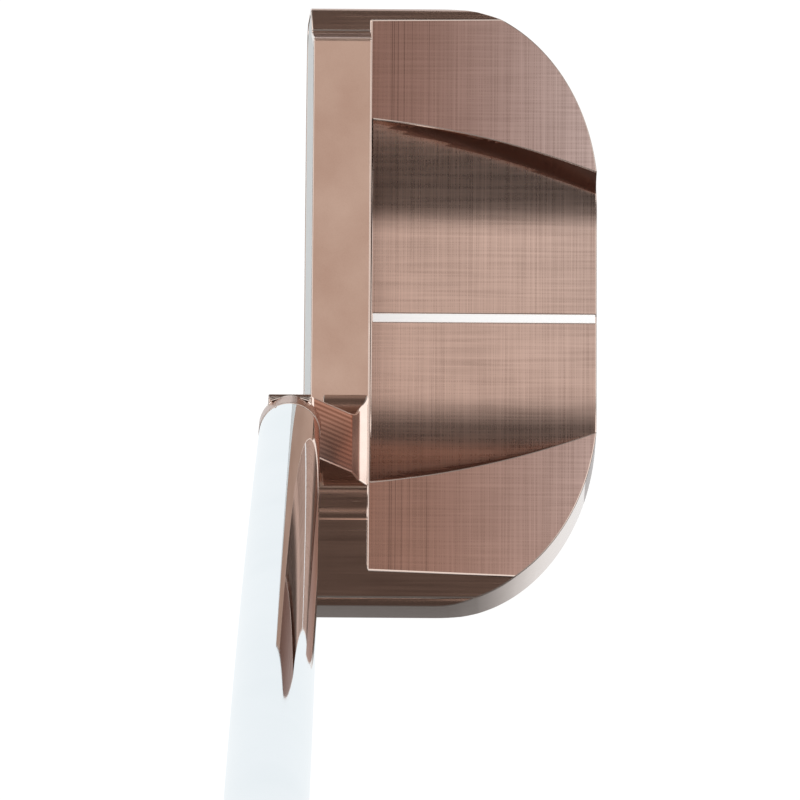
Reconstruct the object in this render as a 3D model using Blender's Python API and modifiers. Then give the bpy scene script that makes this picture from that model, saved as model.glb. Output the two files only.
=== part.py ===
"""Mallet putter: a milled D-shaped head, a plumber's neck, a chromed shaft and a rubber grip.

Metres, +Z up. +X runs from the toe to the heel, and +Y from the face to the back of the head.
The origin lies on the flat of the sole, under the alignment line.
The shaft leans towards the heel at the lie angle, in a plane parallel to the face.
"""
import math

import bmesh
import bpy
from mathutils import Vector

MM = 0.001
GAP = 0.3 * MM                      # clearance left between neighbouring pieces
CONTACT_GAP = 0.1 * MM              # and between two that press on each other
PAST_HEAD = 70.0 * MM               # beyond the head on every side, for cutters
ABOVE_HEAD = 40.0 * MM

# Head, seen from above
HALF_LENGTH = 53.5 * MM             # centre line to the toe or heel edge
LEADING_EDGE = -25.4 * MM           # front edge of the sole
BACK_EDGE = 25.5 * MM
BAR_BACK = -14.0 * MM               # back wall of the front bar
CORNER_REACH = Vector((34.8, 27.8)) * MM    # half axes of the elliptical back corners
FRONT_CORNER = 1.2 * MM
LOFT = math.radians(3.3)

# Head, seen from the front
TOP_HEIGHT = 26.0 * MM              # top line above the ground
WING_HEIGHT = 17.0 * MM             # wings where they meet the front bar
WING_FALL = math.radians(0.8)       # the wings drop slightly towards the back
TOP_TOE = -43.7 * MM
TOP_HEEL = 34.8 * MM
SHOULDER_TOE = -47.8 * MM
SHOULDER_HEEL = 40.0 * MM
TOE_PAD_HEIGHT = 19.2 * MM          # inner ends of the pads, below the shoulders
HEEL_PAD_HEIGHT = 20.3 * MM
SHOULDER_STEPS = 8

# Hollow behind the front bar
FLOOR_HEIGHT = 5.0 * MM
FLOOR_HALF = 13.0 * MM
HOLLOW_HALF = 32.45 * MM            # half width at the front bar
HOLLOW_NARROWING = 0.09             # how fast the half width shrinks towards the back
HOLLOW_CURVE = 3.7                  # and how it curves, per metre
HOLLOW_STEPS = 12
WALL_TURN = 6                       # power with which the walls turn steep near the wings

# Face insert
INSERT_MARGIN = 1.6 * MM
INSERT_DEPTH = 4.0 * MM
BOND_THICKNESS = 0.5 * MM

# Sole
PLATE_MARGIN = 7.0 * MM
PLATE_TOP = 3.0 * MM
POCKET_FRONT = -10.5 * MM
POCKET_BACK = 7.0 * MM
POCKET_SECTION = [(22.0, 0.0), (22.0, 4.2), (26.5, 7.4), (31.5, 13.2),
                  (41.5, 13.2), (43.0, 11.0), (43.0, 0.0)]      # (x, z) in mm, under the heel wing
BOSS_RADIUS = 8.6 * MM
WEIGHT_PLACE = Vector((36.0, 1.5)) * MM
WEIGHT_BOTTOM = 0.75 * MM
WEIGHT_HEAD_RADIUS = 5.8 * MM
WEIGHT_HEAD_HEIGHT = 2.0 * MM
WEIGHT_STEM_RADIUS = 4.2 * MM
WEIGHT_STEM_HEIGHT = 7.0 * MM
WEIGHT_EDGE = 0.4 * MM
WASHER_HEIGHT = 0.4 * MM
WASHER_CLEARANCE = 0.2 * MM
KEY_HOLE_RADIUS = 0.9 * MM
KEY_HOLE_OFFSET = 3.2 * MM
KEY_HOLE_TOP = WEIGHT_BOTTOM + 1.2 * MM
BORE_DEPTH = 9.5 * MM

# Alignment line
LINE_WIDTH = 1.4 * MM
LINE_DEPTH = 0.7 * MM
LINE_FRONT = -13.2 * MM

# Neck and shaft
LIE = math.radians(65.0)
AXIS_Y = -27.2 * MM                 # shaft axis, ahead of the face
RIM_X = 32.2 * MM                   # centre of the collar's rim
RIM_HEIGHT = 49.5 * MM
COLLAR_RADIUS = 5.3 * MM
COLLAR_LENGTH = 6.8 * MM
POST_RADIUS = 3.9 * MM
POST_LENGTH = 26.0 * MM
NECK_TOE = 24.2 * MM
NECK_HEEL = 34.6 * MM
NECK_FLARE = 2.4 * MM
FLARE_EDGE = 1.6 * MM
FLARE_HEIGHT = 5.0 * MM
FLARE_WAIST = 0.4 * MM
FOOT_DEPTH = 7.2 * MM
FOOT_SETBACK = 1.2 * MM
NECK_KNEE_Y = -16.9 * MM            # where the neck starts to lean forward
NECK_KNEE_Z = 32.0 * MM
NECK_TOP_Y = -23.3 * MM
NECK_TOP_Z = 44.0 * MM
ARM_LAP = 0.6 * MM                  # how far the neck's column runs into the block
ARM_UNDERSIDE = 36.0 * MM
BLOCK_TOE = 24.3 * MM
BLOCK_HEEL = 35.6 * MM
BLOCK_FRONT = -30.9 * MM
BLOCK_BACK = -24.0 * MM
BLOCK_TOP = 46.4 * MM
BLOCK_BOTTOM = 33.5 * MM

CLUB_LENGTH = 864.0 * MM            # sole to butt, along the shaft
TIP_RADIUS = 5.13 * MM
BODY_RADIUS = 6.12 * MM
TAPER_LENGTH = 250.0 * MM
FIRST_STEP = 505.0 * MM
STEP_SPACING = 44.0 * MM
STEP_RISE = 0.25 * MM
STEP_COUNT = 6
WALL = 0.7 * MM
BOND_LENGTH = 22.0 * MM

GRIP_LENGTH = 267.0 * MM
GRIP_BELLY = 9.6 * MM               # front and back of the grip at its narrow end
GRIP_BELLY_GROWTH = 3.4 * MM
GRIP_HALF_WIDTH = 9.4 * MM
GRIP_WIDTH_GROWTH = 3.9 * MM
GRIP_FLAT = 0.80                    # where the flat side lies, as a share of the half width
GRIP_BULGE = 2.2 * MM               # the swelling under the upper hand
BULGE_PLACE = 0.86
BULGE_LENGTH = 0.16
GRIP_RINGS = 14
GRIP_POINTS = 24
TAPE_THICKNESS = 0.2 * MM
TAPE_SETBACK = 4.0 * MM
CAP_RADIUS = 11.6 * MM
CAP_THICKNESS = 3.0 * MM
CAP_EDGE = 0.8 * MM
VENT_RADIUS = 1.0 * MM
BUTT = CLUB_LENGTH - RIM_HEIGHT / math.sin(LIE)     # butt, measured along the axis from the rim
GRIP_START = BUTT - GRIP_LENGTH

ROUND_STEPS = 32


# ---------------------------------------------------------------- scene and materials

def clear_scene():
    for old in list(bpy.data.objects):
        bpy.data.objects.remove(old, do_unlink=True)


def new_collection(name):
    collection = bpy.data.collections.new(name)
    bpy.context.scene.collection.children.link(collection)
    return collection


def new_material(name, colour, roughness, metallic):
    material = bpy.data.materials.new(name)
    material.use_nodes = True
    shader = material.node_tree.nodes["Principled BSDF"]
    shader.inputs["Base Color"].default_value = (*colour, 1.0)
    shader.inputs["Roughness"].default_value = roughness
    shader.inputs["Metallic"].default_value = metallic
    return material


clear_scene()
PUTTER = new_collection("mallet_putter")
CUTTERS = new_collection("cutters")

COPPER = new_material("copper_finish", (0.46, 0.27, 0.20), 0.35, 1.0)
FACE_METAL = new_material("milled_face", (0.62, 0.61, 0.59), 0.40, 1.0)
CHROME = new_material("chrome", (0.80, 0.82, 0.83), 0.05, 1.0)
STEEL = new_material("weight_steel", (0.55, 0.54, 0.53), 0.30, 1.0)
ALUMINIUM = new_material("sole_aluminium", (0.66, 0.65, 0.64), 0.38, 1.0)
PAINT = new_material("white_paint", (0.86, 0.86, 0.84), 0.35, 0.0)
RUBBER = new_material("grip_rubber", (0.025, 0.025, 0.027), 0.75, 0.0)
ADHESIVE = new_material("adhesive", (0.45, 0.40, 0.30), 0.50, 0.0)
TAPE = new_material("grip_tape", (0.70, 0.64, 0.50), 0.80, 0.0)
WASHER_PLASTIC = new_material("washer_plastic", (0.08, 0.08, 0.08), 0.55, 0.0)


# ---------------------------------------------------------------- shape helpers

def add_object(name, mesh, material=None):
    """Puts a mesh in the putter, or among the cutters when it has no material."""
    new = bpy.data.objects.new(name, mesh)
    if material is None:
        CUTTERS.objects.link(new)
        new.hide_render = True
        new.display_type = "WIRE"
    else:
        PUTTER.objects.link(new)
        mesh.materials.append(material)
    return new


def smooth(mesh, angle=30.0):
    mesh.shade_smooth()
    mesh.set_sharp_from_angle(angle=math.radians(angle))


def outline_solid(name, points, low, high, across="Z", material=None):
    """A flat outline extruded from low to high, along Z, along Y or along X.

    Its points are (x, y) along Z, (x, z) along Y and (y, z) along X.
    """
    curve = bpy.data.curves.new(name, "CURVE")
    curve.dimensions = "2D"
    curve.fill_mode = "BOTH"
    curve.extrude = (high - low) / 2
    spline = curve.splines.new("POLY")
    spline.points.add(len(points) - 1)
    for place, point in zip(spline.points, points):
        place.co = (point[0], point[1], 0.0, 1.0)
    spline.use_cyclic_u = True
    source = bpy.data.objects.new(name + "_outline", curve)
    bpy.context.scene.collection.objects.link(source)
    middle = (low + high) / 2
    if across == "Z":
        source.location = (0.0, 0.0, middle)
    elif across == "Y":
        source.rotation_euler = (math.pi / 2, 0.0, 0.0)
        source.location = (0.0, middle, 0.0)
    else:
        source.rotation_euler = (math.pi / 2, 0.0, math.pi / 2)
        source.location = (middle, 0.0, 0.0)
    bpy.context.view_layer.update()
    evaluated = source.evaluated_get(bpy.context.evaluated_depsgraph_get())
    mesh = bpy.data.meshes.new_from_object(evaluated)
    shell = bmesh.new()
    shell.from_mesh(mesh)
    bmesh.ops.remove_doubles(shell, verts=shell.verts, dist=1e-6)
    shell.to_mesh(mesh)
    shell.free()
    mesh.materials.clear()
    solid = add_object(name, mesh, material)
    solid.matrix_world = source.matrix_world
    bpy.data.objects.remove(source, do_unlink=True)
    return solid


def lofted_solid(name, rings, material=None):
    """A solid through rings of points that run anticlockwise, as seen from the last ring."""
    shell = bmesh.new()
    loops = [[shell.verts.new(point) for point in ring] for ring in rings]
    for before, behind in zip(loops, loops[1:]):
        for index in range(len(before)):
            after = (index + 1) % len(before)
            shell.faces.new((before[index], before[after], behind[after], behind[index]))
    bmesh.ops.triangulate(shell, faces=shell.faces)
    shell.faces.new(loops[0][::-1])
    shell.faces.new(loops[-1])
    mesh = bpy.data.meshes.new(name)
    shell.to_mesh(mesh)
    shell.free()
    return add_object(name, mesh, material)


def block(name, low, high, rotation=(0.0, 0.0, 0.0), material=None):
    """A box between two corners, turned about its low corner."""
    size = Vector(high) - Vector(low)
    shell = bmesh.new()
    bmesh.ops.create_cube(shell, size=1.0)
    for corner in shell.verts:
        corner.co = [(part + 0.5) * side for part, side in zip(corner.co, size)]
    mesh = bpy.data.meshes.new(name)
    shell.to_mesh(mesh)
    shell.free()
    box = add_object(name, mesh, material)
    box.location = low
    box.rotation_euler = rotation
    return box


def turned(name, profile, material=None, steps=ROUND_STEPS, closed=True):
    """A profile of (radius, height) points turned about Z, its outer side given top to bottom."""
    count = len(profile)
    mesh = bpy.data.meshes.new(name)
    edges = [(index, index + 1) for index in range(count - 1)]
    if closed:
        edges.append((count - 1, 0))
    mesh.from_pydata([(radius, 0.0, height) for radius, height in profile], edges, [])
    piece = add_object(name, mesh, material)
    screw = piece.modifiers.new("turn", "SCREW")
    screw.steps = steps
    screw.render_steps = steps
    screw.use_merge_vertices = True
    screw.merge_threshold = 1e-6
    screw.use_smooth_shade = True
    return piece


def rod(name, radius, low, high, material=None, steps=ROUND_STEPS):
    """A plain cylinder on Z."""
    return turned(name, [(0.0, high), (radius, high), (radius, low), (0.0, low)], material, steps, False)


def tube(name, inner, outer, low, high, material=None, steps=ROUND_STEPS):
    """A plain ring on Z."""
    return turned(name, [(outer, high), (outer, low), (inner, low), (inner, high)], material, steps)


def combine(target, other, operation):
    """Cuts, joins or intersects the target with another solid, and keeps the target."""
    step = target.modifiers.new(operation.lower() + "_" + other.name, "BOOLEAN")
    step.operation = operation
    step.solver = "EXACT"
    step.object = other


def cut(target, *cutters):
    for cutter in cutters:
        combine(target, cutter, "DIFFERENCE")


def join(target, *others):
    for other in others:
        combine(target, other, "UNION")


def on_shaft_axis(piece, along=0.0):
    """Stands a piece, modelled on Z, on the shaft axis, at a distance from the collar's rim."""
    lean = math.pi / 2 - LIE
    piece.rotation_euler = (0.0, lean, 0.0)
    piece.location = (RIM_X + along * math.sin(lean), AXIS_Y, RIM_HEIGHT + along * math.cos(lean))
    return piece


# ---------------------------------------------------------------- outlines

def arc_points(centre, reach, start, end, steps):
    """Points of an elliptical arc between two angles in degrees."""
    angles = [math.radians(start + (end - start) * step / steps) for step in range(steps + 1)]
    return [(centre[0] + reach[0] * math.cos(a), centre[1] + reach[1] * math.sin(a)) for a in angles]


def plan_outline(inset=0.0, front=LEADING_EDGE, steps=12):
    """The head's outline from above: square at the front, with elliptical back corners."""
    half = HALF_LENGTH - inset
    back = BACK_EDGE - inset
    reach = CORNER_REACH - Vector((inset, inset))
    corner = Vector((FRONT_CORNER, FRONT_CORNER))
    points = arc_points((half - corner.x, front + corner.y), corner, -90, 0, 3)
    points += arc_points((half - reach.x, back - reach.y), reach, 0, 90, steps)
    points += arc_points((reach.x - half, back - reach.y), reach, 90, 180, steps)
    points += arc_points((corner.x - half, front + corner.y), corner, 180, 270, 3)
    return points


SOLE_RISE = [(20.0, 0.0), (32.0, 0.3), (42.0, 0.85), (49.0, 1.7), (52.2, 2.7), (53.4, 4.2)]
SIDE_EDGE = [(54.2, 5.4), (54.2, 11.6), (53.2, 13.8), (52.4, 15.2)]


def shoulder(low_x, low_z, high_x, steps):
    """The curve from a pad up to the end of the top line."""
    points = []
    for step in range(steps + 1):
        share = step / steps
        rise = (1 - math.cos(math.pi * share)) / 2
        points.append((low_x + (high_x - low_x) * share,
                       low_z + (TOP_HEIGHT - low_z) * rise))
    return points


def front_outline(steps=SHOULDER_STEPS):
    """The head's outline from the front, starting at the heel end of the flat of the sole."""
    side = [(x * MM, z * MM) for x, z in SOLE_RISE + SIDE_EDGE]
    heel = side + shoulder(SHOULDER_HEEL, HEEL_PAD_HEIGHT, TOP_HEEL, steps)
    toe = shoulder(SHOULDER_TOE, TOE_PAD_HEIGHT, TOP_TOE, steps)[::-1] + [(-x, z) for x, z in side[::-1]]
    return heel + toe


def inset_front_outline(inset):
    """The front outline with straight shoulders, moved inwards by the same distance all round."""
    points = front_outline(1)
    moved = []
    for index, point in enumerate(points):
        before = (Vector(point) - Vector(points[index - 1])).normalized()
        after = (Vector(points[(index + 1) % len(points)]) - Vector(point)).normalized()
        inward = Vector((-before.y - after.y, before.x + after.x)).normalized()
        stretch = max(inward.dot(Vector((-before.y, before.x))), 0.5)
        moved.append(tuple(Vector(point) + inward * inset / stretch))
    return moved


def hollow_half(y):
    """Half the width of the hollow behind the front bar, at the height of the wings."""
    back = y - BAR_BACK
    return HOLLOW_HALF - HOLLOW_NARROWING * back - HOLLOW_CURVE * back * back


def hollow_wall(y, steps=HOLLOW_STEPS):
    """The hollow's heel wall, from the flat floor up to the wing, as (x, z) points.

    Low down the wall is the same parabola everywhere. Near the wing it turns steeper, because
    the hollow narrows towards the back.
    """
    depth = WING_HEIGHT - FLOOR_HEIGHT
    reach = hollow_half(y) - FLOOR_HALF
    low_rise = depth * (reach / (HOLLOW_HALF - FLOOR_HALF)) ** 2
    points = []
    for step in range(steps + 1):
        share = math.sin(math.pi / 2 * step / steps)
        rise = low_rise * share ** 2 + (depth - low_rise) * share ** WALL_TURN
        points.append((FLOOR_HALF + reach * share, FLOOR_HEIGHT + rise))
    return points


# ---------------------------------------------------------------- head

def face_plane_cutter():
    """Everything ahead of the lofted face."""
    cutter = block("face_plane", (-PAST_HEAD, -PAST_HEAD, -MM), (PAST_HEAD, LEADING_EDGE, ABOVE_HEAD))
    shear_to_loft(cutter.data, cutter.location)
    return cutter


def shear_to_loft(mesh, place):
    """Leans a mesh back by the loft, about the leading edge."""
    for vertex in mesh.vertices:
        vertex.co.y += (vertex.co.z + place.z) * math.tan(LOFT)


def lofted_plate(name, points, front, back, material=None):
    """A plate parallel to the lofted face, between two depths behind it."""
    plate = outline_solid(name, points, LEADING_EDGE + front, LEADING_EDGE + back, "Y", material)
    turn = plate.matrix_world.to_3x3()
    turn_back = turn.inverted()
    for vertex in plate.data.vertices:
        world = turn @ vertex.co
        vertex.co += turn_back @ Vector((0.0, world.z * math.tan(LOFT), 0.0))
    return plate


def hollow_cutter():
    front = BAR_BACK + GAP
    back = BACK_EDGE + MM
    rings = []
    for step in range(HOLLOW_STEPS + 1):
        y = front + (back - front) * step / HOLLOW_STEPS
        heel = hollow_wall(y)
        heel.append((heel[-1][0], ABOVE_HEAD))
        toe = [(-x, z) for x, z in heel]
        rings.append([(x, y, z) for x, z in toe + heel[::-1]])
    return lofted_solid("hollow", rings)


def wing_cutter():
    """Everything above the wings, behind the front bar."""
    low = (-PAST_HEAD, BAR_BACK, WING_HEIGHT)
    return block("wing_level", low, (PAST_HEAD, PAST_HEAD, ABOVE_HEAD), (-WING_FALL, 0.0, 0.0))


def pocket_cutter(side):
    """The hollow under one wing, with a round boss left standing for the weight."""
    name = "toe" if side < 0 else "heel"
    points = [(side * x * MM, z * MM) for x, z in POCKET_SECTION]
    pocket = outline_solid(name + "_pocket", points, POCKET_FRONT, POCKET_BACK, "Y")
    boss = rod(name + "_boss", BOSS_RADIUS, -MM, ABOVE_HEAD)
    boss.location = (side * WEIGHT_PLACE.x, WEIGHT_PLACE.y, 0.0)
    cut(pocket, boss)
    return pocket


def weight_bore(side):
    name = "toe" if side < 0 else "heel"
    bore = rod(name + "_bore", WEIGHT_STEM_RADIUS + GAP, -MM, WEIGHT_BOTTOM + BORE_DEPTH)
    bore.location = (side * WEIGHT_PLACE.x, WEIGHT_PLACE.y, 0.0)
    return bore


def make_head_body():
    body = outline_solid("head_body", front_outline(), LEADING_EDGE - 3 * MM, BACK_EDGE + 3 * MM, "Y", COPPER)
    plan = outline_solid("head_plan", plan_outline(front=LEADING_EDGE - MM), -MM, ABOVE_HEAD)
    combine(body, plan, "INTERSECT")
    cut(body, face_plane_cutter(), wing_cutter(), hollow_cutter())
    inner = inset_front_outline(INSERT_MARGIN - GAP)
    cut(body, lofted_plate("insert_seat", inner, -MM, INSERT_DEPTH + BOND_THICKNESS + 2 * GAP))
    seat_margin = PLATE_MARGIN - GAP
    seat_plan = plan_outline(seat_margin, LEADING_EDGE + seat_margin)
    seat = outline_solid("plate_seat", seat_plan, -MM, PLATE_TOP + GAP)
    groove = block("line_groove", (-LINE_WIDTH / 2 - GAP, LINE_FRONT - GAP, FLOOR_HEIGHT - LINE_DEPTH),
                   (LINE_WIDTH / 2 + GAP, PAST_HEAD, ABOVE_HEAD))
    cut(body, seat, groove)
    for side in (-1, 1):
        cut(body, pocket_cutter(side), weight_bore(side))
    smooth(body.data)


def make_face_insert():
    outline = inset_front_outline(INSERT_MARGIN)
    insert = lofted_plate("face_insert", outline, 0.1 * MM, INSERT_DEPTH, FACE_METAL)
    bond = lofted_plate("face_insert_bond", outline, INSERT_DEPTH + GAP,
                        INSERT_DEPTH + GAP + BOND_THICKNESS, ADHESIVE)
    for piece in (insert, bond):
        smooth(piece.data)


def make_sole_plate():
    plan = plan_outline(PLATE_MARGIN, LEADING_EDGE + PLATE_MARGIN)
    rise = [(x * MM, z * MM) for x, z in SOLE_RISE]
    rise = [point for point in rise if point[1] < PLATE_TOP]
    section = rise + [(rise[-1][0], PLATE_TOP), (-rise[-1][0], PLATE_TOP)] + [(-x, z) for x, z in rise[::-1]]
    plate = outline_solid("sole_plate", section, LEADING_EDGE, BACK_EDGE, "Y", ALUMINIUM)
    combine(plate, outline_solid("plate_plan", plan, -MM, ABOVE_HEAD), "INTERSECT")
    for side in (-1, 1):
        name = "toe" if side < 0 else "heel"
        hole = rod(name + "_plate_hole", WEIGHT_HEAD_RADIUS + GAP, -MM, ABOVE_HEAD)
        hole.location = (side * WEIGHT_PLACE.x, WEIGHT_PLACE.y, 0.0)
        cut(plate, hole)


def make_weight(name, side):
    """A threaded sole weight with a pair of key holes, and its washer."""
    head_top = WEIGHT_BOTTOM + WEIGHT_HEAD_HEIGHT
    stem_top = head_top + WEIGHT_STEM_HEIGHT
    profile = [(0.0, stem_top), (WEIGHT_STEM_RADIUS, stem_top),
               (WEIGHT_STEM_RADIUS, head_top), (WEIGHT_HEAD_RADIUS, head_top),
               (WEIGHT_HEAD_RADIUS, WEIGHT_BOTTOM + WEIGHT_EDGE),
               (WEIGHT_HEAD_RADIUS - WEIGHT_EDGE, WEIGHT_BOTTOM), (0.0, WEIGHT_BOTTOM)]
    weight = turned(name, profile, STEEL, closed=False)
    washer_low = head_top + CONTACT_GAP
    washer = tube(name + "_washer", WEIGHT_STEM_RADIUS + WASHER_CLEARANCE,
                  WEIGHT_HEAD_RADIUS - WASHER_CLEARANCE,
                  washer_low, washer_low + WASHER_HEIGHT, WASHER_PLASTIC)
    for piece in (weight, washer):
        piece.location = (side * WEIGHT_PLACE.x, WEIGHT_PLACE.y, 0.0)
    for turn in (-1, 1):
        key_hole = rod(f"{name}_key_{turn + 1}", KEY_HOLE_RADIUS, -MM, KEY_HOLE_TOP, steps=12)
        key_hole.location = (side * WEIGHT_PLACE.x + turn * KEY_HOLE_OFFSET, WEIGHT_PLACE.y, 0.0)
        cut(weight, key_hole)


def make_sight_line():
    block("sight_line", (-LINE_WIDTH / 2, LINE_FRONT, FLOOR_HEIGHT - LINE_DEPTH + GAP),
          (LINE_WIDTH / 2, BACK_EDGE - 0.2 * MM, FLOOR_HEIGHT), material=PAINT)


# ---------------------------------------------------------------- neck

def make_neck():
    """A column that leans forward from the front bar to a block, with the shaft's post on it."""
    base = TOP_HEIGHT + GAP
    foot_front = BAR_BACK - FOOT_DEPTH
    arm_end = BLOCK_BACK - ARM_LAP
    side = [(foot_front, base), (BAR_BACK - GAP, base), (NECK_KNEE_Y, NECK_KNEE_Z),
            (NECK_TOP_Y, NECK_TOP_Z), (arm_end, NECK_TOP_Z), (arm_end, ARM_UNDERSIDE)]
    neck = outline_solid("neck", side, NECK_TOE, NECK_HEEL, "X", COPPER)
    flare_low = base + FLARE_EDGE
    flare_high = base + FLARE_HEIGHT
    flare = [(NECK_TOE - NECK_FLARE, base), (NECK_HEEL + NECK_FLARE, base),
             (NECK_HEEL + FLARE_WAIST, flare_low), (NECK_HEEL - MM, flare_high),
             (NECK_TOE + MM, flare_high), (NECK_TOE - FLARE_WAIST, flare_low)]
    foot = outline_solid("neck_foot", flare, foot_front, BAR_BACK - FOOT_SETBACK, "Y")
    arm = block("neck_block", (BLOCK_TOE, BLOCK_FRONT, BLOCK_BOTTOM), (BLOCK_HEEL, BLOCK_BACK, BLOCK_TOP))
    collar = on_shaft_axis(rod("collar", COLLAR_RADIUS, -COLLAR_LENGTH, 0.0))
    post = on_shaft_axis(rod("post", POST_RADIUS, -COLLAR_LENGTH / 2, POST_LENGTH))
    join(neck, foot, arm, collar, post)
    smooth(neck.data)


# ---------------------------------------------------------------- shaft and grip

def shaft_radius(along):
    """Outer radius of the shaft: a short taper, a plain run, then steps up to the butt."""
    if along < TAPER_LENGTH:
        share = max(along, 0.0) / TAPER_LENGTH
        return TIP_RADIUS + (BODY_RADIUS - TIP_RADIUS) * share * (2 - share)
    steps = max(0, min(STEP_COUNT, math.floor((along - FIRST_STEP) / STEP_SPACING) + 1))
    return BODY_RADIUS + steps * STEP_RISE


def shaft_side(low, high, offset):
    """The shaft's side from low to high, as (radius, height) points, moved out by an offset."""
    taper = [TAPER_LENGTH * step / 6 for step in range(1, 7)]
    points = [(shaft_radius(low) + offset, low)]
    points += [(shaft_radius(at) + offset, at) for at in taper if low < at < high]
    for step in range(STEP_COUNT):
        at = FIRST_STEP + step * STEP_SPACING
        if low < at < high:
            points.append((shaft_radius(at - MM) + offset, at - MM))
            points.append((shaft_radius(at) + offset, at))
    return points + [(shaft_radius(high) + offset, high)]


def make_shaft():
    low = GAP
    outer = shaft_side(low, BUTT, 0.0)[::-1]
    inner = shaft_side(low, BUTT, -WALL)
    on_shaft_axis(turned("shaft", outer + inner, CHROME))
    bond_inner = POST_RADIUS + CONTACT_GAP
    bond_outer = TIP_RADIUS - WALL - CONTACT_GAP
    on_shaft_axis(tube("shaft_bond", bond_inner, bond_outer, MM, MM + BOND_LENGTH, ADHESIVE))


def grip_ring(share):
    """One section of the grip: round at the sides and belly, flat on the side facing the toe."""
    bulge = GRIP_BULGE * math.exp(-((share - BULGE_PLACE) / BULGE_LENGTH) ** 2)
    belly = GRIP_BELLY + GRIP_BELLY_GROWTH * share + bulge
    half_width = GRIP_HALF_WIDTH + GRIP_WIDTH_GROWTH * share
    flat = half_width * GRIP_FLAT
    height = GRIP_START + GRIP_LENGTH * share
    ring = []
    for index in range(GRIP_POINTS):
        angle = 2 * math.pi * index / GRIP_POINTS
        ring.append((max(math.cos(angle) * belly, -flat), math.sin(angle) * half_width, height))
    return ring


def make_grip():
    rings = [grip_ring(step / GRIP_RINGS) for step in range(GRIP_RINGS + 1)]
    grip = on_shaft_axis(lofted_solid("grip", rings, RUBBER))
    smooth(grip.data, 40.0)
    tape_offset = GAP + TAPE_THICKNESS
    bore = shaft_side(GRIP_START - MM, BUTT + MM, tape_offset + GAP)[::-1]
    bore = [(0.0, bore[0][1])] + bore + [(0.0, bore[-1][1])]
    cut(grip, on_shaft_axis(turned("grip_bore", bore, closed=False)))
    tape_low = GRIP_START + MM
    tape_high = BUTT - TAPE_SETBACK
    tape_outer = shaft_side(tape_low, tape_high, tape_offset)[::-1]
    tape_inner = shaft_side(tape_low, tape_high, GAP)
    on_shaft_axis(turned("grip_tape", tape_outer + tape_inner, TAPE))


def make_grip_cap():
    """The end cap, with the small vent hole that a slid-on grip needs."""
    low = BUTT + GAP
    high = low + CAP_THICKNESS
    profile = [(CAP_RADIUS - CAP_EDGE, high), (CAP_RADIUS, high - CAP_EDGE),
               (CAP_RADIUS, low), (VENT_RADIUS, low), (VENT_RADIUS, high)]
    on_shaft_axis(turned("grip_cap", profile, RUBBER))


make_head_body()
make_face_insert()
make_sole_plate()
make_weight("toe_weight", -1)
make_weight("heel_weight", 1)
make_sight_line()
make_neck()
make_shaft()
make_grip()
make_grip_cap()
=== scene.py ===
"""Looks of the mallet putter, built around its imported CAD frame.

Metres, in the frame's axes: +X runs from the toe to the heel, +Y from the face to the back, +Z up.
Sizes that the head's fine surface needs are repeated from part.py; places come from the frame.
"""
import math

import bmesh
import bpy
from mathutils import Matrix, Vector


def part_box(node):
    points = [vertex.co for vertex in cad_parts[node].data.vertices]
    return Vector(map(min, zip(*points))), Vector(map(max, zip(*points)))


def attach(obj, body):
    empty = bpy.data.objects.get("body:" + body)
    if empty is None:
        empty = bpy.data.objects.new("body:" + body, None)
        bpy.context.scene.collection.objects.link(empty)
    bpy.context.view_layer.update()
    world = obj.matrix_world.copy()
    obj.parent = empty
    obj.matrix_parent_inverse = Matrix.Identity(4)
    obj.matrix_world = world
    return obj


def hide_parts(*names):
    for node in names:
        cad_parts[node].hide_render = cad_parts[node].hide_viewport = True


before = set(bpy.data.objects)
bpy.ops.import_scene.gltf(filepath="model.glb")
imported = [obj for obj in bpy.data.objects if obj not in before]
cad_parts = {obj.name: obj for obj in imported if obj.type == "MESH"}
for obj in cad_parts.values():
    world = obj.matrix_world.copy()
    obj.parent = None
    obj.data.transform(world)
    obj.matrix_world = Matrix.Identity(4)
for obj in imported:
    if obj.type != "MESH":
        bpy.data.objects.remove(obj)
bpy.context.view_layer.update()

MM = 0.001
ROOT = "root"

# ---------------------------------------------------------------- sizes

BODY_LOW, BODY_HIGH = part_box("head_body")
LEADING_EDGE = BODY_LOW.y
BACK_EDGE = BODY_HIGH.y
HALF_LENGTH = BODY_HIGH.x
TOP_HEIGHT = BODY_HIGH.z
BAR_BACK = -14.0 * MM
CORNER_REACH = Vector((34.8, 27.8)) * MM
FRONT_CORNER = 1.2 * MM
LOFT = math.radians(3.3)
PAST_HEAD = 70.0 * MM               # beyond the head on every side, for cutters
ABOVE_HEAD = 40.0 * MM
CUT_MARGIN = 20.0 * MM              # how far the face's cutter reaches forwards and down

WING_HEIGHT = 17.0 * MM
WING_FALL = math.radians(0.8)
TOP_TOE = -43.7 * MM
TOP_HEEL = 34.8 * MM
SHOULDER_TOE = -47.8 * MM
SHOULDER_HEEL = 40.0 * MM
TOE_PAD_HEIGHT = 19.2 * MM
HEEL_PAD_HEIGHT = 20.3 * MM

FLOOR_HEIGHT = 5.0 * MM
FLOOR_HALF = 13.0 * MM
HOLLOW_HALF = 32.45 * MM
HOLLOW_NARROWING = 0.09
HOLLOW_CURVE = 3.7
WALL_TURN = 24                      # later and sharper than in the CAD, which has 6

LINE_WIDTH = 1.45 * MM
LINE_DEPTH = 0.5 * MM
LINE_FRONT = -13.4 * MM

INSERT_INSET = 1.6 * MM
INSERT_SETBACK = 0.1 * MM
INSERT_DEPTH = 4.0 * MM
SEAT_INSET = 1.3 * MM               # the insert's seat in the head
SEAT_DEPTH = 4.9 * MM
SOLE_SEAT_MARGIN = 6.7 * MM
SOLE_SEAT_TOP = 3.3 * MM

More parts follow.
